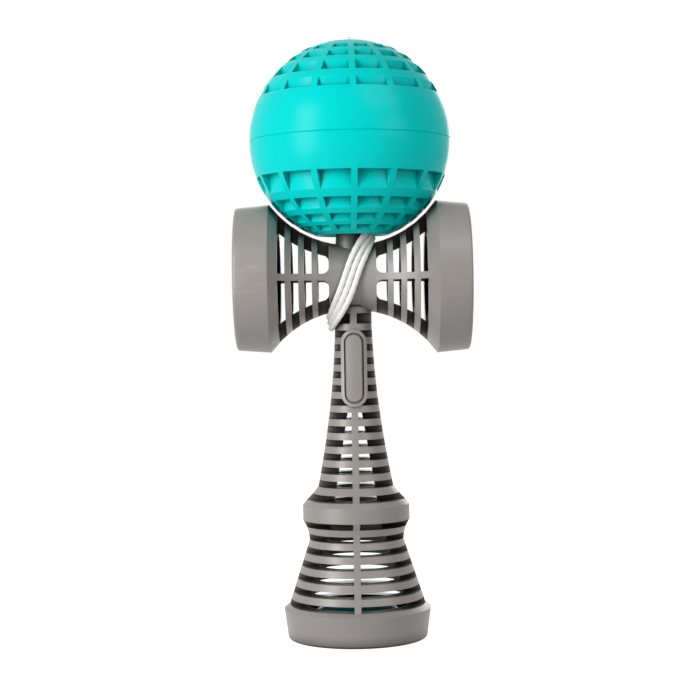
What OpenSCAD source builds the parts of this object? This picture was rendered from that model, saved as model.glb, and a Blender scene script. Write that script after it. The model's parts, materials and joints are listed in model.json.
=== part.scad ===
// Cup and ball toy in moulded plastic, all lengths in millimetres.
// The handle stands on its base cup, the cross-cup sits on the handle's neck,
// and the ball sits on the spike above it. +X points to the large cup, -Y to
// the front, +Z up; the origin is the centre of the rim that it stands on.

/* [Ball] */
// Diameter of the ball
ball_d = 60.5; // [57:0.5:64]
// Wall of the two ball halves
ball_wall = 5.5; // [5:0.1:7]
// Number of pockets round the ball
pocket_count = 15; // [12:1:18]
// Rows of pockets on each half
pocket_rows = 4; // [2:1:4]
// Step between rows, seen along the axis
pocket_pitch = 4.15; // [3.8:0.05:4.4]
// Width of a pocket, seen along the axis
pocket_w = 2.65; // [2:0.05:2.8]
// Width of the wedge in the top half's first row
pocket_first_w = 1.6; // [1.2:0.05:2.6]
// Distance of the outermost row's inner wall from the ball's widest line
pocket_inset = 4.6; // [4.4:0.05:4.8]
// Thickness of the ribs between pockets
pocket_rib = 1.9; // [1.2:0.1:2.6]
// Radius of the spike hole's mouth
mouth_r = 11; // [10.8:0.1:11.4]
// Radial clearance of the spike in the ball's sleeve
sleeve_gap = 0.3; // [0.2:0.05:0.6]
// Wall of the sleeve
sleeve_wall = 2.2; // [1.5:0.1:3]
// Height of the rim that centres one half in the other
spigot_h = 2.4; // [1.5:0.1:3.5]
// Depth of the groove round the seam
seam_groove = 0.15; // [0.1:0.05:0.5]

/* [Cross-cup] */
// Length from rim to rim
cross_len = 69.5; // [68:0.5:72]
// Difference between the saddle's radius and the ball's
saddle_gap = 0.4; // [0.2:0.1:0.6]
// Radius of the hub at its narrowest
throat_r = 9.7; // [9.6:0.1:10]
// Wall of the cage
cross_wall = 4; // [3.6:0.1:4.6]
// Width of the hub
hub_w = 14; // [13.4:0.2:14.6]
// Width of the opening next to the hub
first_slot = 3.35; // [3:0.05:3.6]
// Fillet between the hub and the middle rib
hub_fillet = 2; // [1.5:0.1:2.9]
// Rounding of the hollow where it ends at the hub
core_round = 2.2; // [1.6:0.1:2.8]
// Thickness of the cage's bars
bar_t = 1.65; // [1.4:0.05:1.9]
// Step between bars
bar_pitch = 3.9; // [3.8:0.05:4]
// Rim radius of the large cup
large_rim_r = 22; // [21.5:0.1:22.4]
// Rim radius of the small cup
small_rim_r = 21.4; // [20.8:0.1:21.6]
// Width of the large cup's plain flange
large_flange = 9.6; // [9.2:0.1:10.2]
// Width of the small cup's plain flange
small_flange = 10.1; // [9.6:0.1:10.6]
// Wall of the cup rims
rim_wall = 2; // [1.6:0.1:2.4]
// Rounding of the cup rims
rim_round = 0.8; // [0.4:0.1:0.9]

/* [Handle] */
// Widest radius of the base cup
base_r = 22; // [21.6:0.1:23]
// Radius of the base cup just above the rounded foot
base_low_r = 20.9; // [20.6:0.1:21.4]
// Rounding of the foot
base_round = 1; // [0.6:0.1:1.4]
// Height of the base cup's widest line
base_rim_z = 9.05; // [8.7:0.05:9.4]
// Height of the base cup's top edge
base_h = 10.2; // [9.9:0.05:10.6]
// Radius of the lower cage at the base cup
cage_base_r = 20.4; // [20:0.1:21]
// Radius of the lower cage at its narrowest
cage_neck_r = 14.1; // [13.6:0.1:14.6]
// Hoops of the lower cage
lower_hoops = 6; // [5:1:7]
// Step between the lower hoops
lower_pitch = 3.91; // [3.8:0.01:4.1]
// Thickness of the hoops
hoop_t = 2.03; // [1.8:0.01:2.3]
// Radius of the waist band
waist_r = 16; // [15.6:0.1:16.6]
// Height of the waist band
waist_h = 5.9; // [5.4:0.1:6.5]
// Bevel on the waist band's upper edge
waist_bevel = 1.2; // [0.6:0.1:1.6]
// Hoops of the upper cage
upper_hoops = 13; // [11:1:14]
// Step between the upper hoops
upper_pitch = 4.05; // [3.9:0.01:4.2]
// Radius of the upper cage just above its flared last hoop
grip_low_r = 11.3; // [10.8:0.1:11.8]
// Radius of the upper cage at the collar
collar_r = 5.5; // [5.4:0.05:5.7]
// Bulge exponent of the grip's outline
grip_bulge = 1.85; // [1.5:0.05:2.2]
// Height of the tall opening under the collar
collar_slot = 3.1; // [2.6:0.1:3.6]
// Height of the collar
collar_h = 1.9; // [1.6:0.1:2.4]
// Thickness of the four upright ribs
rib_t = 2; // [1.6:0.1:2.4]
// Wall of the cage at the base cup
cage_wall = 5.1; // [4.6:0.1:5.6]
// Core radius where its two tapers meet
core_mid_r = 7.6; // [7:0.1:8.2]
// Height of the core above the waist
core_rise = 41; // [36:1:46]
// Radius of the neck and of the spike's foot
neck_r = 5; // [4.8:0.05:5.2]
// Spike length above the hub's centre line
spike_len = 46; // [44:0.5:48]
// Radius of the spike near its tip
spike_tip_r = 2.6; // [2:0.1:3]
// Length of the bare plate on the grip
plate_len = 23; // [20:0.5:24]
// Distance of the plate's middle below the collar
plate_drop = 16.3; // [16:0.1:17]
// Width of the plate
plate_w = 7.8; // [7:0.1:8.6]
// Width of the plate's raised border
plate_rim = 1; // [0.7:0.1:1.2]
// Width of the groove between the border and the plate's bare field
plate_groove = 0.6; // [0.4:0.1:0.8]
// Height of the groove's floor above the grip's outline
plate_floor = 0.2; // [0.1:0.05:0.3]
// Height of the border and the field above the grip's outline
plate_rise = 0.7; // [0.5:0.1:1]

/* [Dish inserts] */
// Height of each dish above its rim plane
dish_h = 11; // [10.8:0.1:11.2]
// Thickness of the dishes
dish_t = 1.8; // [1.4:0.1:2.2]
// Width of the flat edge that a dish is seated by
dish_lip = 0.9; // [0.6:0.1:1.2]
// Clearance round a seated piece
seat_gap = 0.05; // [0.02:0.01:0.1]

/* [String] */
// Diameter of the string
cord_d = 1.2; // [1:0.05:1.2]
// Turns of string round the hub
cord_turns = 3; // [1:1:3]
// Distance between neighbouring turns
turn_step = 1.76; // [1.76:0.01:1.8]
// Sideways swing of each turn
turn_swing = 4; // [3.9:0.1:4.2]
// Extra swing past the neck and the spike
turn_hook = 2.3; // [2.25:0.05:2.4]
// Angle that the turns are piled up by beside the neck and the spike
turn_pile = 80; // [78:1:82]
// Sideways place of the whole winding
turn_shift = -0.5; // [-0.55:0.05:-0.4]
// Clearance between the turns and the hub
lay_gap = 0.2; // [0.18:0.01:0.25]
// Clearance between the string and the ball
cord_gap = 0.3; // [0.25:0.05:0.4]
// Bend radius of the string where it enters the ball
cord_bend = 4; // [3.6:0.1:4.4]
// Radius of the string's holes
hole_r = 1.3; // [1.1:0.05:1.5]
// Diameter of the bead inside the ball
bead_d = 8; // [7:0.1:9]
// Diameter of the stopper knots
knot_d = 3.2; // [2.8:0.1:3.4]

/* [Hidden] */
$fn = 96;

grey = "#8c8985";
teal = "#0bc9c4";
white = "#efedea";

// Heights, stacked upward from the rim that the toy stands on
ball_r = ball_d / 2;
waist_z = base_h + lower_hoops * lower_pitch + lower_pitch - hoop_t;
grip_z = waist_z + waist_h;
last_hoop_z = grip_z + upper_pitch;
collar_z = grip_z + upper_hoops * upper_pitch + collar_slot;
seat_z = collar_z + collar_h;
seat_drop = 8.8;
axis_z = seat_z + seat_drop;
ball_lift_gap = 0.5;
saddle_r = ball_r + saddle_gap;
saddle_y = throat_r + saddle_r;
ball_z = axis_z + saddle_y + ball_lift_gap;
neck_top = throat_r + 0.6;

// Distance of the saddle's surface from the cross-cup's axis
function saddle(x, r = saddle_r) = saddle_y - sqrt(r * r - x * x);

// Outline radius of the upper cage at a height
function grip(z) = collar_r + (grip_low_r - collar_r)
    * pow(max(0, (collar_z - z) / (collar_z - last_hoop_z)), grip_bulge);

// Outline radius of the spike, measured up from the cross-cup's axis
function spike(h) = neck_r + (spike_tip_r - neck_r)
    * (h - neck_top) / (spike_len - spike_tip_r - neck_top);

// Points of an arc
function arc(cx, cy, r, a0, a1, n) =
    [for (i = [0 : n]) let (a = a0 + (a1 - a0) * i / n)
        [cx + r * cos(a), cy + r * sin(a)]];

// Dish surfaces, as heights above the rim plane at a radius
dish_under_r = ball_r + 0.5;
dish_over_r = dish_under_r + dish_t;
function dish_under(r) = dish_h - dish_t - dish_under_r
    + sqrt(dish_under_r * dish_under_r - r * r);
function dish_over(r) = dish_h - dish_over_r
    + sqrt(dish_over_r * dish_over_r - r * r);
base_seat_r = base_low_r - base_round - 1;
large_seat_r = large_rim_r - rim_wall;
small_seat_r = small_rim_r - rim_wall;
function ledge(seat_r) = dish_over(seat_r - seat_gap - dish_lip);

// Clear radius round the back of a dish, at a depth behind its rim plane
dish_clear = 0.3;
function dish_space(depth) = let (h = dish_over_r - dish_h + depth)
    depth < dish_h ? sqrt(dish_over_r * dish_over_r - h * h) + dish_clear : 0;

// One dished insert, rim plane at height 0, opening downward
module dish(seat_r) {
    edge = seat_r - seat_gap;
    inner = edge - dish_lip;
    steps = 10;
    rotate_extrude()
        polygon(concat(
            [for (i = [0 : steps]) let (r = inner * i / steps) [r, dish_over(r)]],
            [[edge, dish_over(inner)]],
            [for (i = [0 : steps]) let (r = edge * (1 - i / steps)) [r, dish_under(r)]]));
}

// Four openings of one storey, with the upright ribs left between them
module storey(z, h, reach, rib) {
    for (sx = [0, 1], sy = [0, 1])
        mirror([sx, 0, 0])
            mirror([0, sy, 0])
                translate([rib / 2, rib / 2, z])
                    cube([reach, reach, h]);
}

// Outline of the plate, grown or shrunk, standing in the XZ plane
module plate_outline(grow) {
    w = plate_w + 2 * grow;
    l = plate_len + 2 * grow;
    square([w, l - w], center = true);
    for (s = [-1, 1])
        translate([0, s * (l - w) / 2])
            circle(d = w);
}

// Depth of the plate's root in the grip, and what its outline is drawn past the ends
plate_root = 1;
plate_over = 2;

// Plate of one height above the grip's outline, wrapped round its front
module plate_layer(rise, grow, sunk) {
    mid = collar_z - plate_drop;
    low = mid - plate_len / 2 - plate_over;
    steps = 6;
    height = plate_len + 2 * plate_over;
    intersection() {
        translate([0, 0, mid])
            rotate([90, 0, 0])
                linear_extrude(height = base_r)
                    plate_outline(grow);
        rotate_extrude()
            polygon(concat(
                [for (i = [0 : steps]) let (z = low + height * i / steps) [grip(z) + rise, z]],
                [for (i = [steps : -1 : 0]) let (z = low + height * i / steps)
                    [grip(z) - sunk, z]]));
    }
}

// Outer form of the handle with its collar, neck and spike
module handle_form() {
    cage_neck_z = base_h + (cage_base_r - cage_neck_r) / 0.327;
    flare_z = last_hoop_z - hoop_t;
    flare_steps = 4;
    tip_z = axis_z + spike_len - spike_tip_r;
    rotate_extrude()
        polygon(concat(
            [[0, 0]],
            arc(base_low_r - base_round, base_round, base_round, -90, 0, 5),
            [[base_r, base_rim_z], [cage_base_r, base_h]],
            [for (i = [0 : flare_steps]) let (t = i / flare_steps)
                [cage_neck_r + (waist_r - cage_neck_r) * t * t,
                 cage_neck_z + (waist_z - cage_neck_z) * t]],
            [[waist_r, grip_z - waist_bevel - 0.2], [waist_r - waist_bevel, grip_z],
             [grip_low_r + 1.6, flare_z]],
            [for (i = [0 : upper_hoops - 1])
                let (z = last_hoop_z + i * upper_pitch) [grip(z), z]],
            [[collar_r, collar_z], [collar_r, seat_z], [neck_r, seat_z],
             [neck_r, axis_z + neck_top]],
            arc(0, tip_z, spike_tip_r, 0, 90, 8)));
}

// Tapered hollow of the handle, open into the base cup
module handle_core() {
    step_r = base_seat_r - seat_gap - dish_lip;
    step_z = ledge(base_seat_r);
    rotate_extrude()
        polygon([[0, -1], [base_seat_r, -1], [base_seat_r, step_z], [step_r, step_z],
            [cage_base_r - cage_wall, base_h], [core_mid_r, waist_z - lower_pitch / 2],
            [0, grip_z + core_rise]]);
}

module handle() {
    color(grey) {
        difference() {
            handle_form();
            handle_core();
            for (i = [0 : lower_hoops])
                storey(base_h + i * lower_pitch, lower_pitch - hoop_t, base_r, rib_t);
            for (i = [0 : upper_hoops - 1])
                storey(grip_z + i * upper_pitch, upper_pitch - hoop_t, waist_r, rib_t);
            storey(collar_z - collar_slot, collar_slot, waist_r, rib_t);
        }
        plate_layer(plate_floor, -plate_rim, plate_root);
        plate_layer(plate_rise, -plate_rim - plate_groove, plate_root);
        difference() {
            plate_layer(plate_rise, 0, plate_root);
            plate_layer(2 * plate_rise, -plate_rim, 2 * plate_root);
        }
    }
}

// Turns a form drawn along Z so that it lies along X at the cross-cup's height
module along_x() {
    translate([0, 0, axis_z])
        rotate([0, 90, 0])
            children();
}

// Outer form of the cross-cup, drawn along Z
module cross_form() {
    half = cross_len / 2;
    large_z = half - large_flange;
    small_z = half - small_flange;
    steps = 16;
    rotate_extrude()
        polygon(concat(
            [[0, -half]],
            arc(small_rim_r - rim_round, rim_round - half, rim_round, -90, 0, 3),
            [for (i = [0 : steps]) let (z = -small_z + (small_z + large_z) * i / steps)
                [saddle(z), z]],
            arc(large_rim_r - rim_round, half - rim_round, rim_round, 0, 90, 3),
            [[0, half]]));
}

// Hollow of one cup and of the cage behind it, drawn along Z
module cup_core(seat_r) {
    half = cross_len / 2;
    step_z = half - ledge(seat_r);
    core_r = saddle_r + cross_wall;
    hub = hub_w / 2;
    end = hub + core_round;
    last = hub + first_slot + 4 * bar_pitch;
    steps = 8;
    rotate_extrude()
        polygon(concat(
            [[0, half + 1], [seat_r, half + 1], [seat_r, step_z],
             [seat_r - seat_gap - dish_lip, step_z]],
            [for (i = [0 : steps]) let (z = last + (end - last) * i / steps)
                [max(saddle(z, core_r), dish_space(half - z)), z]],
            arc(saddle(end, core_r) - core_round, end, core_round, -30, -90, 2),
            [[0, hub]]));
}

// One quarter of the opening next to the hub, with its filleted corner
module hub_opening() {
    reach = large_rim_r;
    f = hub_fillet;
    linear_extrude(height = reach) {
        translate([f, 0])
            square([first_slot - f, reach]);
        translate([0, f])
            square([first_slot, reach - f]);
        intersection() {
            translate([f, f])
                circle(r = f);
            square([first_slot, reach]);
        }
    }
}

// Openings of the cage on the +X side
module bar_openings() {
    hub = hub_w / 2;
    for (sy = [0, 1], sz = [0, 1])
        mirror([0, sy, 0])
            translate([0, 0, axis_z])
                mirror([0, 0, sz]) {
                    translate([hub, rib_t / 2 + large_rim_r, rib_t / 2])
                        rotate([90, 0, 0])
                            hub_opening();
                    for (i = [0 : 2])
                        translate([hub + first_slot + bar_t + i * bar_pitch,
                            rib_t / 2, rib_t / 2])
                            cube([bar_pitch - bar_t, large_rim_r, large_rim_r]);
                }
}

// Place of the string's hole in the back of the hub
anchor_t = -0.035;

module cross_cup() {
    anchor = turn(anchor_t);
    color(grey)
        difference() {
            along_x() cross_form();
            along_x() cup_core(large_seat_r);
            mirror([1, 0, 0]) along_x() cup_core(small_seat_r);
            bar_openings();
            mirror([1, 0, 0]) bar_openings();
            translate([0, 0, axis_z - throat_r - 5])
                cylinder(r = neck_r + seat_gap, h = 2 * throat_r + 10);
            translate([0, 0, seat_z - 5])
                cylinder(r = collar_r + seat_gap, h = 5);
            translate([anchor[0], 0, anchor[2]])
                rotate([-90, 0, 0]) {
                    cylinder(r = hole_r, h = throat_r + 3);
                    cylinder(d = knot_d + 0.3, h = knot_y + seat_gap);
                }
        }
}

module base_cup_insert() {
    color(teal) dish(base_seat_r);
}

module large_cup_insert() {
    color(teal)
        along_x()
            translate([0, 0, cross_len / 2])
                mirror([0, 0, 1])
                    dish(large_seat_r);
}

module small_cup_insert() {
    color(teal)
        mirror([1, 0, 0])
            along_x()
                translate([0, 0, cross_len / 2])
                    mirror([0, 0, 1])
                        dish(small_seat_r);
}

// Rings and ribs of the pockets of one half, which opens along +Z from its rim
module pockets(first_w) {
    difference() {
        for (k = [0 : pocket_rows - 1]) {
            r_in = ball_r - pocket_inset - k * pocket_pitch;
            r_out = r_in + (k == 0 ? first_w : pocket_w);
            floor_z = sqrt(ball_r * ball_r - r_out * r_out);
            translate([0, 0, floor_z])
                difference() {
                    cylinder(r = r_out, h = ball_r);
                    translate([0, 0, -1])
                        cylinder(r = r_in, h = ball_r + 2);
                }
        }
        for (i = [0 : pocket_count - 1])
            rotate(-88.1 + i * 360 / pocket_count)
                translate([0, -pocket_rib / 2, 0])
                    cube([ball_r + 1, pocket_rib, 2 * ball_r]);
    }
}

// Hollow half ball with its rim at height 0 and its pole up
module half_shell(first_w) {
    difference() {
        rotate_extrude()
            difference() {
                intersection() {
                    circle(r = ball_r);
                    square([ball_r, ball_r]);
                }
                circle(r = ball_r - ball_wall);
                translate([ball_r, 0])
                    rotate(45)
                        square(2 * seam_groove, center = true);
            }
        pockets(first_w);
    }
}

spigot_r = ball_r - ball_wall + 1.4;

module ball_lower_half() {
    flat = sqrt(ball_r * ball_r - mouth_r * mouth_r);
    sleeve_top = 2;
    sleeve_low = ball_r - ball_wall + 1;
    bore_low = spike(ball_low_h) + sleeve_gap;
    bore_top = spike(ball_z - axis_z - sleeve_top) + sleeve_gap;
    color(teal)
        translate([0, 0, ball_z])
            mirror([0, 0, 1])
                difference() {
                    union() {
                        half_shell(pocket_w);
                        translate([0, 0, sleeve_top])
                            cylinder(r1 = bore_top + sleeve_wall, r2 = bore_low + sleeve_wall,
                                h = sleeve_low - sleeve_top);
                        rotate_extrude()
                            translate([ball_r - ball_wall, -spigot_h])
                                square([1.4, spigot_h + 2]);
                    }
                    translate([0, 0, flat - mouth_depth])
                        cylinder(r1 = bore_low, r2 = mouth_r, h = mouth_depth);
                    translate([0, 0, flat])
                        cylinder(r = mouth_r, h = ball_r);
                    translate([0, 0, sleeve_top - 0.01])
                        cylinder(r1 = bore_top, r2 = bore_low,
                            h = flat - mouth_depth - sleeve_top + 0.01);
                }
}

mouth_depth = 3.6;
ball_low_h = ball_z - axis_z - sqrt(ball_r * ball_r - mouth_r * mouth_r) + mouth_depth;

// Places along the ball's axis, above its centre
bead_top = ball_r - ball_wall - 2;
boss_low = bead_top + 0.3;
flare_r = cord_bend;
flare_h = cord_bend - 0.5;

module ball_upper_half() {
    boss_r = bead_d / 2 + 1.5;
    color(teal)
        translate([0, 0, ball_z])
            difference() {
                union() {
                    half_shell(pocket_first_w);
                    translate([0, 0, boss_low])
                        cylinder(r = boss_r, h = ball_r - ball_wall - boss_low + 1);
                }
                translate([0, 0, -0.01])
                    cylinder(r = spigot_r + seat_gap, h = spigot_h + 0.1);
                cylinder(r = hole_r, h = ball_r + 1);
                translate([0, 0, ball_r - flare_h])
                    cylinder(r1 = hole_r, r2 = flare_r, h = flare_h);
            }
}

module string_bead() {
    color(white)
        translate([0, 0, ball_z + bead_top - bead_h / 2])
            difference() {
                intersection() {
                    sphere(d = bead_d);
                    cube([bead_d, bead_d, bead_h], center = true);
                }
                cylinder(d = cord_d + 0.5, h = bead_d, center = true);
            }
}

bead_h = bead_d * 0.84;
knot_z = ball_z + bead_top - bead_h;

// A tight round stopper knot, pole up, with a flat where the string enters
module knot() {
    intersection() {
        translate([0, 0, -knot_d * 0.45])
            sphere(d = knot_d);
        translate([0, 0, -knot_d])
            cube([knot_d, knot_d, 2 * knot_d], center = true);
    }
}

module bead_knot() {
    color(white) translate([0, 0, knot_z]) knot();
}

knot_y = sqrt(pow(neck_r + knot_d / 2 + 0.1, 2) - pow(turn(anchor_t)[0], 2)) + 0.45 * knot_d;

module anchor_knot() {
    anchor = turn(anchor_t);
    color(white)
        translate([anchor[0], knot_y, anchor[2]])
            rotate([-90, 0, 0])
                knot();
}

// The string's centre line round the hub: up the back, over the top beside the
// spike, down the front and under beside the neck, counted in turns. The turns
// lie side by side on the hub, and are piled up beside the spike and the neck.
function turn(t) =
    let (a = 180 - 360 * t,
         s = sin(a),
         lean = (turn_swing + 3 * turn_hook * s * s) * cos(a) / (throat_r + 1),
         pile = turn_pile * s * s,
         side = turn_step * sqrt(1 + lean * lean) * cos(pile) * (t - cord_turns / 2),
         rise = turn_step * sin(pile) * (s > 0 ? cord_turns - 0.5 - t : t - 0.5),
         x = turn_shift + turn_swing * s + turn_hook * pow(s, 3) + side,
         r = saddle(x) + cord_d / 2 + lay_gap + rise)
    [x, -r * cos(a), axis_z + r * sin(a)];

function unit(v) = v / norm(v);
function heading(p, i) = unit(p[min(i + 1, len(p) - 1)] - p[max(i - 1, 0)]);
function bezier(a, b, c, d, t) = a * pow(1 - t, 3) + 3 * b * t * pow(1 - t, 2)
    + 3 * c * t * t * (1 - t) + d * pow(t, 3);

// Winding: out of the hub's back, round into the turns, to the back again
join_t = 0.1;
lead_out = 2.8;
lead_in = 5;
stub_in = turn(anchor_t) + [0, knot_y - turn(anchor_t)[1], 0];
stub_out = turn(anchor_t) + [0, cord_d / 2, 0];
join_dir = unit(turn(join_t + 0.01) - turn(join_t - 0.01));
winding = concat(
    [stub_in, stub_in + [0, cord_d, 0]],
    [for (i = [0 : 7]) bezier(stub_out, stub_out + [0, lead_out, 0],
        turn(join_t) - lead_in * join_dir, turn(join_t), i / 8)],
    [for (i = [0 : round(24 * (cord_turns - join_t))])
        turn(join_t + (cord_turns - join_t) * i / round(24 * (cord_turns - join_t)))]);

// Run: from the winding up the ball's back, over the top and down its hole
run_r = ball_r + cord_d / 2 + cord_gap;
run_a = -34;
run_out = 9;
run_in = 12;
run_start = winding[len(winding) - 1];
run_dir = unit(turn(cord_turns + 0.005) - turn(cord_turns - 0.005));
run_touch = [run_start[0] * 0.6, run_r * cos(run_a), ball_z + run_r * sin(run_a)];
run_touch_dir = [0, -sin(run_a), cos(run_a)];
bend_a = acos(cord_bend / (run_r - cord_bend));
bend_z = ball_z + (run_r - cord_bend) * sin(bend_a);
run = concat(
    [for (i = [0 : 9]) bezier(run_start, run_start + run_out * run_dir,
        run_touch - run_in * run_touch_dir, run_touch, i / 10)],
    [for (i = [0 : 24]) let (a = run_a + (bend_a - run_a) * i / 24)
        [run_touch[0] * (1 - i / 24), run_r * cos(a), ball_z + run_r * sin(a)]],
    [for (i = [1 : 6]) let (a = bend_a + (180 - bend_a) * i / 6)
        [0, cord_bend + cord_bend * cos(a), bend_z + cord_bend * sin(a)]],
    [for (i = [1 : 3]) [0, 0, bend_z + (knot_z - bend_z) * i / 3]]);

// A tube of triangles along points that never run along X for long
module tube(p, sides, first_dir, last_dir) {
    n = len(p);
    dirs = [for (i = [0 : n - 1]) i == 0 ? first_dir : i == n - 1 ? last_dir : heading(p, i)];
    pts = [for (i = [0 : n - 1])
        let (u = unit(cross(dirs[i], [1, 0, 0])), v = cross(dirs[i], u))
        for (k = [0 : sides - 1])
            p[i] + cord_d / 2 * (u * cos(360 * k / sides) + v * sin(360 * k / sides))];
    walls = [for (i = [0 : n - 2], k = [0 : sides - 1])
        let (a = i * sides + k, b = i * sides + (k + 1) % sides)
        each [[a, a + sides, b], [b, a + sides, b + sides]]];
    caps = [for (k = [1 : sides - 2])
        each [[0, k, k + 1], [(n - 1) * sides, (n - 1) * sides + k + 1, (n - 1) * sides + k]]];
    polyhedron(points = pts, faces = concat(walls, caps), convexity = 10);
}

module cord_winding() {
    color(white) tube(winding, 6, [0, 1, 0], run_dir);
}

module cord_run() {
    color(white) tube(run, 8, run_dir, [0, 0, -1]);
}

// Least gap of the winding to itself, and its clearance from the neck
fine = [for (i = [0 : 96 * cord_turns]) turn(join_t + (cord_turns - join_t) * i / (96 * cord_turns))];
lead = [for (i = [0 : 40]) bezier(stub_out, stub_out + [0, lead_out, 0],
    turn(join_t) - lead_in * join_dir, turn(join_t), i / 40)];
self_gap = min([for (i = [0 : len(fine) - 1], j = [0 : len(fine) - 1])
    if (j > i + 40) norm(fine[i] - fine[j])]) - cord_d;
lead_gap = min([for (a = lead, j = [48 : len(fine) - 1]) norm(a - fine[j])]) - cord_d;
neck_gap = min([for (p = fine) if (p[2] < seat_z + cord_d / 2) norm([p[0], p[1]])])
    - collar_r - cord_d / 2;
length = function (p) [for (i = [1 : len(p) - 1]) norm(p[i] - p[i - 1])] * [for (i = [1 : len(p) - 1]) 1];
echo(self_gap = self_gap, lead_gap = lead_gap, neck_gap = neck_gap,
    winding_length = length(winding), run_length = length(run), axis_z = axis_z, ball_z = ball_z);

handle();
cross_cup();
base_cup_insert();
large_cup_insert();
small_cup_insert();
ball_lower_half();
ball_upper_half();
string_bead();
bead_knot();
anchor_knot();
cord_winding();
cord_run();
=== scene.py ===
"""Cup and ball toy in moulded plastic: a grey cage handle and cross-cup, a teal ball and a white string."""

import json
import math

import bmesh
import bpy
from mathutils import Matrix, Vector

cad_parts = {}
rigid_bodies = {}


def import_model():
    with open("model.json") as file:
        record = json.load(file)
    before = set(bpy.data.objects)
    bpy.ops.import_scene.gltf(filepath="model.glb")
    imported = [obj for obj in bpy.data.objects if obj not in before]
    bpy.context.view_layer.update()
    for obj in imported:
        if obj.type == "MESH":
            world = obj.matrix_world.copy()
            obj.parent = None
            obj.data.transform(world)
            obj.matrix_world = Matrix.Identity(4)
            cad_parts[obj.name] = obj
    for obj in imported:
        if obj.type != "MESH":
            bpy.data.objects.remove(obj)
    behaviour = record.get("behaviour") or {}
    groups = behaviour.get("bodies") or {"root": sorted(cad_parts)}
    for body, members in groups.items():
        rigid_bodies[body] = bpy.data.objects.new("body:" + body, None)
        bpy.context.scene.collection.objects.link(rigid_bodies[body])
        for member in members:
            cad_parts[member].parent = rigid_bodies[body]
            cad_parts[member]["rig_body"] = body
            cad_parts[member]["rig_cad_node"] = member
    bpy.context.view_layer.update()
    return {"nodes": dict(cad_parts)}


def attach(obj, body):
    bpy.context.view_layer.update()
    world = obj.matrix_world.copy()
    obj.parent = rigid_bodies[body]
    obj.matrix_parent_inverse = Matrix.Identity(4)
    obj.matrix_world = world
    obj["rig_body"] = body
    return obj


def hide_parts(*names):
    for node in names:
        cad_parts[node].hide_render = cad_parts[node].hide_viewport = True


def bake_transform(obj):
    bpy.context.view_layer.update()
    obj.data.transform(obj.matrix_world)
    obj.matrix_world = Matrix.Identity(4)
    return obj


MM = 0.001

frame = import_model()

# Sizes of what the string goes round, in millimetres
AXIS_Z = 107.89
BALL_Z = 148.74
BALL_R = 30.25
THROAT_R = 9.7
SADDLE_R = 30.65
NECK_R = 5.0
BEAD_TOP = 22.75
BEAD_H = 6.72

# The string as it is seen, its braid and the steps of its sweep, in millimetres
STRING_D = 1.76
PLAIT = 2.6
PLAIT_RISE = 0.045
FILAMENT_W = 0.12
FILAMENT_L = 1.4
STRING_STEP = 0.26
STRING_SIDES = 16

# The string's route, in millimetres, degrees and turns round the hub
ROUTE_D = 1.2
TURNS = 3
TURN_STEP = 1.76
TURN_SWING = 4.0
TURN_HOOK = 2.5
TURN_PILE = 80
TURN_SHIFT = -0.5
LAY_GAP = 0.2
STRING_GAP = 0.3
STRING_BEND = 4.0
KNOT_D = 3.2
KNOT_GAP = 0.1
KNOT_HOLD = 0.45
ANCHOR_T = -0.035
JOIN_T = 0.1
LEAD_OUT = 2.8
LEAD_IN = 5.0
RUN_OUT = 9.0
RUN_IN = 12.0
RUN_LOW = -34
RUN_PULL = 0.6

# Camera: place in metres, tilt and roll in degrees, lens and sensor in millimetres
CAMERA_PLACE = (-0.0010, -0.5, 0.0937)
CAMERA_TILT = 89.141
CAMERA_ROLL = 0.91
LENS = 85.7
SENSOR = 36.0

# Light on the toy from all round, where 1 is the white that the camera sees
SURROUND = 0.06

# The floor's own glow to the eye, and its share beside the light that falls on it
FLOOR_GLOW = 1.9
FLOOR_SHARE = 0.5

# Soft boxes: name, place, aim, width and height in metres, and power in watts
SOFT_BOXES = (
    ("left_box", (-0.45, -0.37, 0.23), (0, 0, 0.08), 0.24, 0.5, 3.5),
    ("right_box", (0.62, -0.55, 0.30), (0, 0, 0.12), 0.4, 0.3, 1.1),
    ("top_box", (0.30, -0.35, 0.58), (0, 0, 0.1), 0.4, 0.3, 1.3),
    ("rear_box", (0.1, 0.6, 0.25), (0, 0, 0.1), 0.5, 0.3, 1.8),
)


def linear(hex_colour):
    """Turn an sRGB hex colour into linear RGBA."""
    out = []
    for i in (1, 3, 5):
        c = int(hex_colour[i : i + 2], 16) / 255
        out.append(c / 12.92 if c <= 0.04045 else ((c + 0.055) / 1.055) ** 2.4)
    return (*out, 1.0)


def add(nodes, kind, settings=None, **inputs):
    """Add a node, set its properties, and set or link its inputs by name or by i and a number."""
    node = nodes.new(kind)
    for key, value in (settings or {}).items():
        setattr(node, key, value)
    for key, value in inputs.items():
        by_number = key[0] == "i" and key[1:].isdigit()
        socket = node.inputs[int(key[1:]) if by_number else key.replace("_", " ")]
        if isinstance(value, bpy.types.NodeSocket):
            node.id_data.links.new(value, socket)
        else:
            socket.default_value = value
    return node


def scale_of(size):
    """Scale of a pattern whose features are a size in millimetres."""
    return 1 / (size * MM)


def new_material(name):
    """Start a node material and return it with its nodes and shader."""
    mat = bpy.data.materials.new(name)
    mat.use_nodes = True
    nodes = mat.node_tree.nodes
    return mat, nodes, nodes["Principled BSDF"]


def select_only(obj):
    """Make one object the only selected and active one."""
    bpy.ops.object.select_all(action="DESELECT")
    obj.select_set(True)
    bpy.context.view_layer.objects.active = obj


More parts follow.
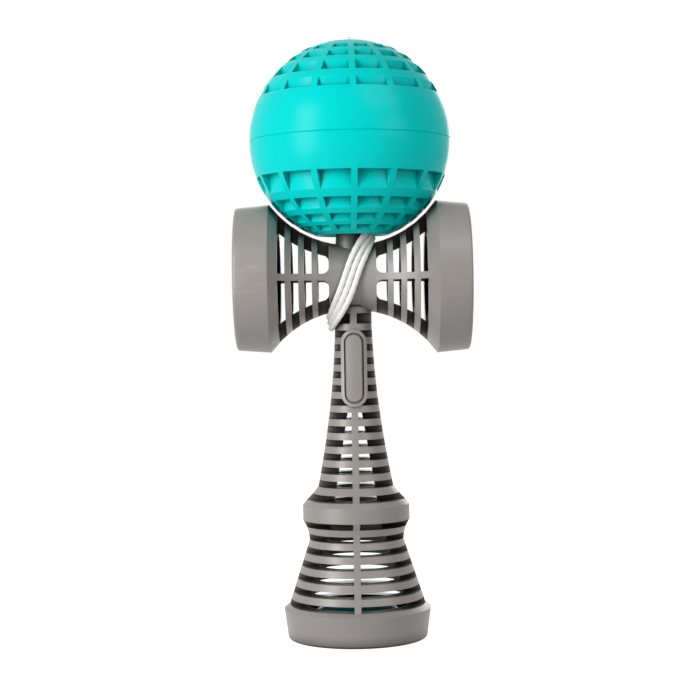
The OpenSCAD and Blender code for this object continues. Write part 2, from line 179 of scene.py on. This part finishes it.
def moulded_grey():
    """Grey ABS with a satin skin: a fine mould grain, faint flow marks, painted shade in the slots and
    rubbed cups.
    """
    mat, nodes, shader = new_material("moulded grey ABS")
    link = mat.node_tree.links.new
    place = add(nodes, "ShaderNodeTexCoord").outputs["Object"]
    # flow marks 18 mm across, and a grain of 0.5 mm
    flow = add(nodes, "ShaderNodeTexNoise", Vector=place, Scale=scale_of(18), Detail=3.0, Roughness=0.55)
    grain = add(nodes, "ShaderNodeTexNoise", Vector=place, Scale=scale_of(0.5), Detail=2.0, Roughness=0.6)
    tone = add(nodes, "ShaderNodeMix", {"data_type": "RGBA"}, Factor=flow.outputs["Fac"],
               A=linear("#87827E"), B=linear("#908B87"))
    # pale rubs on the cups' flanges, which start 24.5 to 26 mm out: smears 2.5 mm high and 9 mm long,
    # turned a little and strongest within 2 mm of the cups' middle
    lay = add(nodes, "ShaderNodeMapping", Vector=place, Scale=(scale_of(9), scale_of(9), scale_of(2.5)),
              Rotation=(0, math.radians(24), 0))
    streak = add(nodes, "ShaderNodeTexNoise", Vector=lay.outputs["Vector"], Scale=1.0, Detail=4.0,
                 Roughness=0.62)
    worn = add(nodes, "ShaderNodeMapRange", Value=streak.outputs["Fac"], From_Min=0.50, From_Max=0.72)
    axes = add(nodes, "ShaderNodeSeparateXYZ", Vector=place)
    out_x = add(nodes, "ShaderNodeMath", {"operation": "ABSOLUTE"}, i0=axes.outputs["X"])
    on_cup = add(nodes, "ShaderNodeMapRange", Value=out_x.outputs["Value"],
                 From_Min=24.5 * MM, From_Max=26.0 * MM)
    rise = add(nodes, "ShaderNodeMath", {"operation": "SUBTRACT"}, i0=axes.outputs["Z"], i1=AXIS_Z * MM)
    off_mid = add(nodes, "ShaderNodeMath", {"operation": "ABSOLUTE"}, i0=rise.outputs["Value"])
    near_mid = add(nodes, "ShaderNodeMapRange", Value=off_mid.outputs["Value"],
                   From_Min=9 * MM, From_Max=2 * MM)
    where = add(nodes, "ShaderNodeMath", {"operation": "MULTIPLY"},
                i0=on_cup.outputs["Result"], i1=near_mid.outputs["Result"])
    rub = add(nodes, "ShaderNodeMath", {"operation": "MULTIPLY"},
              i0=where.outputs["Value"], i1=worn.outputs["Result"])
    faint = add(nodes, "ShaderNodeMath", {"operation": "MULTIPLY"}, i0=rub.outputs["Value"], i1=0.15)
    colour = add(nodes, "ShaderNodeMix", {"data_type": "RGBA"}, Factor=faint.outputs["Value"],
                 A=tone.outputs["Result"], B=linear("#C9C6C2"))
    # painted shade: the walls of the slots, less than 7 mm from what faces them, are darkened in colour and
    # gloss
    near = add(nodes, "ShaderNodeAmbientOcclusion", {"samples": 8}, Distance=7 * MM)
    open_air = add(nodes, "ShaderNodeMapRange", Value=near.outputs["AO"],
                   From_Min=0.25, From_Max=0.75, To_Min=0.15, To_Max=1.0)
    shade = add(nodes, "ShaderNodeMix", {"data_type": "RGBA", "blend_type": "MULTIPLY"}, Factor=1.0,
                A=colour.outputs["Result"], B=open_air.outputs["Result"])
    link(shade.outputs["Result"], shader.inputs["Base Color"])
    # the painted shade also dims the gloss in the slots
    gloss = add(nodes, "ShaderNodeMath", {"operation": "MULTIPLY"}, i0=open_air.outputs["Result"], i1=0.6)
    link(gloss.outputs["Value"], shader.inputs["Specular IOR Level"])
    rough = add(nodes, "ShaderNodeMapRange", Value=flow.outputs["Fac"], To_Min=0.36, To_Max=0.46)
    link(rough.outputs["Result"], shader.inputs["Roughness"])
    edge = add(nodes, "ShaderNodeBevel", {"samples": 4}, Radius=0.14 * MM)
    bump = add(nodes, "ShaderNodeBump", Strength=0.12, Distance=0.05 * MM,
               Height=grain.outputs["Fac"], Normal=edge.outputs["Normal"])
    link(bump.outputs["Normal"], shader.inputs["Normal"])
    shader.inputs["IOR"].default_value = 1.52
    return mat


def moulded_teal(name, reach):
    """Teal ABS with a satin skin, almost even in colour, with painted shade where walls stand within a
    reach in mm.
    """
    mat, nodes, shader = new_material(name)
    link = mat.node_tree.links.new
    place = add(nodes, "ShaderNodeTexCoord").outputs["Object"]
    # cloudy pigment 20 mm across, and a grain of 0.6 mm
    cloud = add(nodes, "ShaderNodeTexNoise", Vector=place, Scale=scale_of(20), Detail=2.0, Roughness=0.5)
    grain = add(nodes, "ShaderNodeTexNoise", Vector=place, Scale=scale_of(0.6), Detail=2.0, Roughness=0.6)
    tone = add(nodes, "ShaderNodeMix", {"data_type": "RGBA"}, Factor=cloud.outputs["Fac"],
               A=linear("#00CCC8"), B=linear("#00D4D0"))
    # painted shade darkens corners and hollows, but only a quarter of it falls on the shallow join of the
    # ball's halves
    near = add(nodes, "ShaderNodeAmbientOcclusion", {"samples": 8}, Distance=reach * MM)
    open_air = add(nodes, "ShaderNodeMapRange", Value=near.outputs["AO"],
                   From_Min=0.3, From_Max=0.85, To_Min=0.45, To_Max=1.0)
    axes = add(nodes, "ShaderNodeSeparateXYZ", Vector=place)
    rise = add(nodes, "ShaderNodeMath", {"operation": "SUBTRACT"}, i0=axes.outputs["Z"], i1=BALL_Z * MM)
    off_join = add(nodes, "ShaderNodeMath", {"operation": "ABSOLUTE"}, i0=rise.outputs["Value"])
    shade_share = add(nodes, "ShaderNodeMapRange", Value=off_join.outputs["Value"],
                From_Min=0.4 * MM, From_Max=0.6 * MM, To_Min=0.25, To_Max=1.0)
    shade = add(nodes, "ShaderNodeMix", {"data_type": "RGBA", "blend_type": "MULTIPLY"},
                Factor=shade_share.outputs["Result"], A=tone.outputs["Result"], B=open_air.outputs["Result"])
    link(shade.outputs["Result"], shader.inputs["Base Color"])
    rough = add(nodes, "ShaderNodeMapRange", Value=cloud.outputs["Fac"], To_Min=0.20, To_Max=0.28)
    link(rough.outputs["Result"], shader.inputs["Roughness"])
    edge = add(nodes, "ShaderNodeBevel", {"samples": 4}, Radius=0.12 * MM)
    bump = add(nodes, "ShaderNodeBump", Strength=0.1, Distance=0.04 * MM,
               Height=grain.outputs["Fac"], Normal=edge.outputs["Normal"])
    link(bump.outputs["Normal"], shader.inputs["Normal"])
    shader.inputs["IOR"].default_value = 1.5
    shader.inputs["Specular IOR Level"].default_value = 0.07
    return mat


def braided_nylon():
    """White braided nylon: fine filaments along its plaits, a soft sheen, and grey between the plaits."""
    mat, nodes, shader = new_material("braided white nylon")
    link = mat.node_tree.links.new
    along = add(nodes, "ShaderNodeUVMap", {"uv_map": "braid"}).outputs["UV"]
    # U runs along the string in millimetres and V once round it
    lay = add(nodes, "ShaderNodeMapping", Vector=along,
              Scale=(1 / FILAMENT_L, math.pi * STRING_D / FILAMENT_W, 1.0))
    fibre = add(nodes, "ShaderNodeTexNoise", Vector=lay.outputs["Vector"], Scale=1.0, Detail=3.0,
                Roughness=0.6)
    tone = add(nodes, "ShaderNodeMix", {"data_type": "RGBA"}, Factor=fibre.outputs["Fac"],
               A=linear("#DDDBD8"), B=linear("#FBFAF8"))
    link(tone.outputs["Result"], shader.inputs["Base Color"])
    bump = add(nodes, "ShaderNodeBump", Strength=0.35, Distance=0.05 * MM, Height=fibre.outputs["Fac"])
    link(bump.outputs["Normal"], shader.inputs["Normal"])
    shader.inputs["Roughness"].default_value = 0.6
    shader.inputs["Sheen Weight"].default_value = 0.25
    shader.inputs["Sheen Roughness"].default_value = 0.4
    return mat


def bead_white():
    """White bead plastic with a slight cloud."""
    mat, nodes, shader = new_material("moulded white bead")
    link = mat.node_tree.links.new
    place = add(nodes, "ShaderNodeTexCoord").outputs["Object"]
    # clouds of 3 mm
    cloud = add(nodes, "ShaderNodeTexNoise", Vector=place, Scale=scale_of(3), Detail=2.0)
    tone = add(nodes, "ShaderNodeMix", {"data_type": "RGBA"}, Factor=cloud.outputs["Fac"],
               A=linear("#E4E2DE"), B=linear("#EDEBE8"))
    link(tone.outputs["Result"], shader.inputs["Base Color"])
    shader.inputs["Roughness"].default_value = 0.4
    return mat


def dress(node, name, body, material, angle):
    """Copy a CAD solid, merge its triangles, smooth its bends below an angle and give it its finish."""
    select_only(frame["nodes"][node])
    bpy.ops.object.duplicate()
    piece = bpy.context.view_layer.objects.active
    piece.name = name
    piece.data.name = name
    piece.parent = None
    del piece["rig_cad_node"]
    del piece["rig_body"]
    bpy.ops.object.mode_set(mode="EDIT")
    bpy.ops.mesh.select_all(action="SELECT")
    bpy.ops.mesh.remove_doubles(threshold=0.002 * MM)
    bpy.ops.object.mode_set(mode="OBJECT")
    bpy.ops.mesh.customdata_custom_splitnormals_clear()
    bpy.ops.object.shade_smooth_by_angle(angle=math.radians(angle))
    piece.data.materials.clear()
    piece.data.materials.append(material)
    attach(piece, body)
    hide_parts(node)
    return piece


def saddle(x):
    """Radius of the hub's surface at a distance along the cross-cup."""
    return THROAT_R + SADDLE_R - math.sqrt(SADDLE_R * SADDLE_R - x * x)


def hub_turn(t):
    """Centre line of the string round the hub, side by side on it and piled up past spike and neck."""
    a = math.radians(180 - 360 * t)
    s = math.sin(a)
    lean = (TURN_SWING + 3 * TURN_HOOK * s * s) * math.cos(a) / (THROAT_R + 1)
    pile = math.radians(TURN_PILE) * s * s
    side = TURN_STEP * math.sqrt(1 + lean * lean) * math.cos(pile) * (t - TURNS / 2)
    rise = TURN_STEP * math.sin(pile) * (TURNS - 0.5 - t if s > 0 else t - 0.5)
    x = TURN_SHIFT + TURN_SWING * s + TURN_HOOK * s**3 + side
    r = saddle(x) + ROUTE_D / 2 + LAY_GAP + rise
    return Vector((x, -r * math.cos(a), AXIS_Z + r * s))


def turn_way(t, step):
    """Direction of the string round the hub, from the points a step before and after."""
    return (hub_turn(t + step) - hub_turn(t - step)).normalized()


def bezier(a, b, c, d, t):
    """Point of a cubic curve."""
    return a * (1 - t) ** 3 + b * (3 * t * (1 - t) ** 2) + c * (3 * t * t * (1 - t)) + d * t**3


def stretch(curve, count):
    """Points of one stretch of the string's route, without its last."""
    return [curve(i / count) for i in range(count)]


def string_route():
    """The string from its knot in the hub, round it, over the ball's back and down to the bead."""
    hole = hub_turn(ANCHOR_T)
    knot_y = math.sqrt((NECK_R + KNOT_D / 2 + KNOT_GAP) ** 2 - hole.x**2) + KNOT_HOLD * KNOT_D
    inside = Vector((hole.x, knot_y, hole.z))
    outside = hole + Vector((0, ROUTE_D / 2, 0))
    joined = hub_turn(JOIN_T)
    lead = (outside, outside + Vector((0, LEAD_OUT, 0)), joined - LEAD_IN * turn_way(JOIN_T, 0.01), joined)
    lift = BALL_R + ROUTE_D / 2 + STRING_GAP
    low = math.radians(RUN_LOW)
    high = math.acos(STRING_BEND / (lift - STRING_BEND))
    start = hub_turn(TURNS)
    touch = Vector((start.x * RUN_PULL, lift * math.cos(low), BALL_Z + lift * math.sin(low)))
    touch_way = Vector((0, -math.sin(low), math.cos(low)))
    run = (start, start + RUN_OUT * turn_way(TURNS, 0.005), touch - RUN_IN * touch_way, touch)
    bend_z = BALL_Z + (lift - STRING_BEND) * math.sin(high)
    bend_end = Vector((0, 0, bend_z))
    bead_end = Vector((0, 0, BALL_Z + BEAD_TOP - BEAD_H))

    def over_ball(t):
        a = low + (high - low) * t
        return Vector((touch.x * (1 - t), lift * math.cos(a), BALL_Z + lift * math.sin(a)))

    def into_hole(t):
        a = high + (math.pi - high) * t
        return Vector((0, STRING_BEND * (1 + math.cos(a)), bend_z + STRING_BEND * math.sin(a)))

    points = stretch(lambda t: inside.lerp(outside, t), 8)
    points += stretch(lambda t: bezier(*lead, t), 40)
    points += stretch(lambda t: hub_turn(JOIN_T + (TURNS - JOIN_T) * t), 480)
    points += stretch(lambda t: bezier(*run, t), 60)
    points += stretch(over_ball, 160)
    points += stretch(into_hole, 24)
    points += stretch(lambda t: bend_end.lerp(bead_end, t), 20)
    points.append(bead_end)
    return points


def even_steps(points, step):
    """Points at an even step along a line, with both its ends."""
    lengths = [0.0]
    for a, b in zip(points, points[1:]):
        lengths.append(lengths[-1] + (b - a).length)
    count = round(lengths[-1] / step)
    out = []
    j = 0
    for i in range(count + 1):
        want = lengths[-1] * i / count
        while j < len(points) - 2 and lengths[j + 1] < want:
            j += 1
        span = lengths[j + 1] - lengths[j]
        out.append(points[j].lerp(points[j + 1], (want - lengths[j]) / span if span else 0))
    return out, lengths[-1]


def braid_string(material):
    """Sweep the string with its crossing plaits along the whole route."""
    route, length = even_steps(string_route(), STRING_STEP)
    step = length / (len(route) - 1)
    rings = []
    side = Vector((1, 0, 0))
    mesh = bpy.data.meshes.new("braided_string")
    work = bmesh.new()
    for i, point in enumerate(route):
        way = (route[min(i + 1, len(route) - 1)] - route[max(i - 1, 0)]).normalized()
        side = (side - way * side.dot(way)).normalized()
        other = way.cross(side)
        along = 2 * math.pi * i * step / PLAIT
        ring = []
        for k in range(STRING_SIDES):
            a = 2 * math.pi * k / STRING_SIDES
            plaits = max(math.sin(along + 2 * a), math.sin(along - 2 * a + math.pi / 2))
            r = STRING_D / 2 * (1 - PLAIT_RISE + PLAIT_RISE * plaits)
            ring.append(work.verts.new((point + r * (side * math.cos(a) + other * math.sin(a))) * MM))
        rings.append(ring)
    uv = work.loops.layers.uv.new("braid")
    for i in range(len(rings) - 1):
        for k in range(STRING_SIDES):
            n = (k + 1) % STRING_SIDES
            face = work.faces.new((rings[i][k], rings[i][n], rings[i + 1][n], rings[i + 1][k]))
            face.smooth = True
            corners = ((i, k), (i, k + 1), (i + 1, k + 1), (i + 1, k))
            for loop, (u, v) in zip(face.loops, corners):
                loop[uv].uv = (u * step, v / STRING_SIDES)
    work.faces.new(list(reversed(rings[0])))
    work.faces.new(rings[-1])
    work.normal_update()
    work.to_mesh(mesh)
    work.free()
    string = bpy.data.objects.new("braided_string", mesh)
    bpy.context.scene.collection.objects.link(string)
    mesh.materials.append(material)
    return string, [p * MM for p in route], length * MM


def looked_at(nodes):
    """1 for the rays of the camera, of reflections and through clear things, and 0 for the rest."""
    light = add(nodes, "ShaderNodeLightPath")
    seen = add(nodes, "ShaderNodeMath", {"operation": "MAXIMUM"},
               i0=light.outputs["Is Camera Ray"], i1=light.outputs["Is Glossy Ray"])
    shown = add(nodes, "ShaderNodeMath", {"operation": "MAXIMUM"},
                i0=seen.outputs["Value"], i1=light.outputs["Is Transmission Ray"])
    return shown.outputs["Value"]


def white_studio():
    """White surround that the camera and reflections see, with a low even fill on the toy."""
    world = bpy.data.worlds.new("studio")
    bpy.context.scene.world = world
    world.use_nodes = True
    nodes = world.node_tree.nodes
    level = add(nodes, "ShaderNodeMapRange", Value=looked_at(nodes), To_Min=SURROUND, To_Max=1.0)
    back = nodes["Background"]
    back.inputs["Color"].default_value = (1, 1, 1, 1)
    world.node_tree.links.new(level.outputs["Result"], back.inputs["Strength"])


def pale_floor():
    """Pale sweep under the toy, white to look at apart from a trace of the toy's shadow."""
    bpy.ops.object.select_all(action="DESELECT")
    bpy.ops.mesh.primitive_plane_add(size=4.0, location=(0, 0, 0))
    floor = bpy.context.view_layer.objects.active
    floor.name = "pale_floor"
    mat, nodes, shader = new_material("pale paper sweep")
    shader.inputs["Base Color"].default_value = linear("#D8D8D8")
    shader.inputs["Roughness"].default_value = 0.9
    glow = add(nodes, "ShaderNodeEmission", Strength=FLOOR_GLOW)
    glow.inputs["Color"].default_value = (1, 1, 1, 1)
    share = add(nodes, "ShaderNodeMath", {"operation": "MULTIPLY"}, i0=looked_at(nodes), i1=FLOOR_SHARE)
    mix = add(nodes, "ShaderNodeMixShader", Fac=share.outputs["Value"],
              i1=shader.outputs["BSDF"], i2=glow.outputs["Emission"])
    mat.node_tree.links.new(mix.outputs["Shader"], nodes["Material Output"].inputs["Surface"])
    floor.data.materials.append(mat)


def soft_box(name, place, aim, width, height, power):
    """One rectangular soft light turned towards a point."""
    data = bpy.data.lights.new(name, "AREA")
    data.shape = "RECTANGLE"
    data.size = width
    data.size_y = height
    data.energy = power
    lamp = bpy.data.objects.new(name, data)
    bpy.context.scene.collection.objects.link(lamp)
    lamp.location = place
    lamp.rotation_euler = (Vector(aim) - Vector(place)).to_track_quat("-Z", "Y").to_euler()


def photo_camera():
    """Camera half a metre in front, a little below the cross-cup, with the picture's slight roll."""
    data = bpy.data.cameras.new("camera")
    data.sensor_width = SENSOR
    data.lens = LENS
    camera = bpy.data.objects.new("camera", data)
    bpy.context.scene.collection.objects.link(camera)
    camera.location = CAMERA_PLACE
    camera.rotation_euler = (math.radians(CAMERA_TILT), math.radians(CAMERA_ROLL), 0)
    bpy.context.scene.camera = camera


photo_camera()
white_studio()
pale_floor()
for box in SOFT_BOXES:
    soft_box(*box)

GREY = moulded_grey()
# the number is the reach in mm of the painted shade; the dishes deep in the cups take it from walls up to
# 14 mm away
TEAL = moulded_teal("moulded teal ABS", 4)
DISH = moulded_teal("moulded teal ABS dish", 14)
NYLON = braided_nylon()
BEAD = bead_white()

string, string_path, string_length = braid_string(NYLON)
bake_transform(string)
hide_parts("cord_winding", "cord_run")

# the number at the end is the sharpest bend in degrees that is shaded smooth
dress("handle", "cage_handle", "ken", GREY, 26)
dress("cross_cup", "cage_cross_cup", "ken", GREY, 33)
dress("base_cup_insert", "base_dish", "ken", DISH, 40)
dress("large_cup_insert", "large_dish", "ken", DISH, 40)
dress("small_cup_insert", "small_dish", "ken", DISH, 40)
dress("ball_lower_half", "ball_bottom", "ball", TEAL, 22)
dress("ball_upper_half", "ball_top", "ball", TEAL, 22)
bead = dress("string_bead", "stop_bead", "bead", BEAD, 40)
end_knot = dress("bead_knot", "end_knot", "bead", NYLON, 60)
hub_knot = dress("anchor_knot", "hub_knot", "ken", NYLON, 60)

bpy.context.scene.view_settings.view_transform = "Standard"
